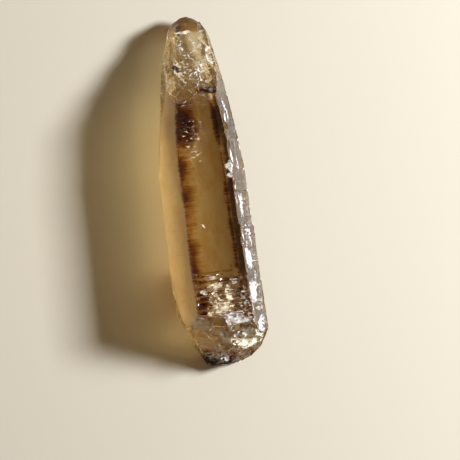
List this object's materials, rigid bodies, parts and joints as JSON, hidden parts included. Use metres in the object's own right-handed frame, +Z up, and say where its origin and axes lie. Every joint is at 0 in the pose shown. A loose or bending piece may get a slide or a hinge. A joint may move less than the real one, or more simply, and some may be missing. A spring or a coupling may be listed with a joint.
{
  "type": "quartz crystal",
  "caption": "Single quartz crystal point lying on a prism face, with a broken frosted tip, a chipped base and faint cross striations.",
  "frame": {"origin": "centre of the bounding box's bottom, on the resting face", "axes": "+Y along the crystal's long axis from the broken base to the tip, +X to the right seen from above, +Z up out of the front prism face"},
  "size_m": [0.0196, 0.0744, 0.0145],
  "materials": {
    "smoky_quartz": "clear golden-brown quartz, naturally glossy prism faces, frosted where it is broken or etched"
  },
  "bodies": {
    "root": {"crystal": "smoky_quartz"}
  },
  "joints": []
}
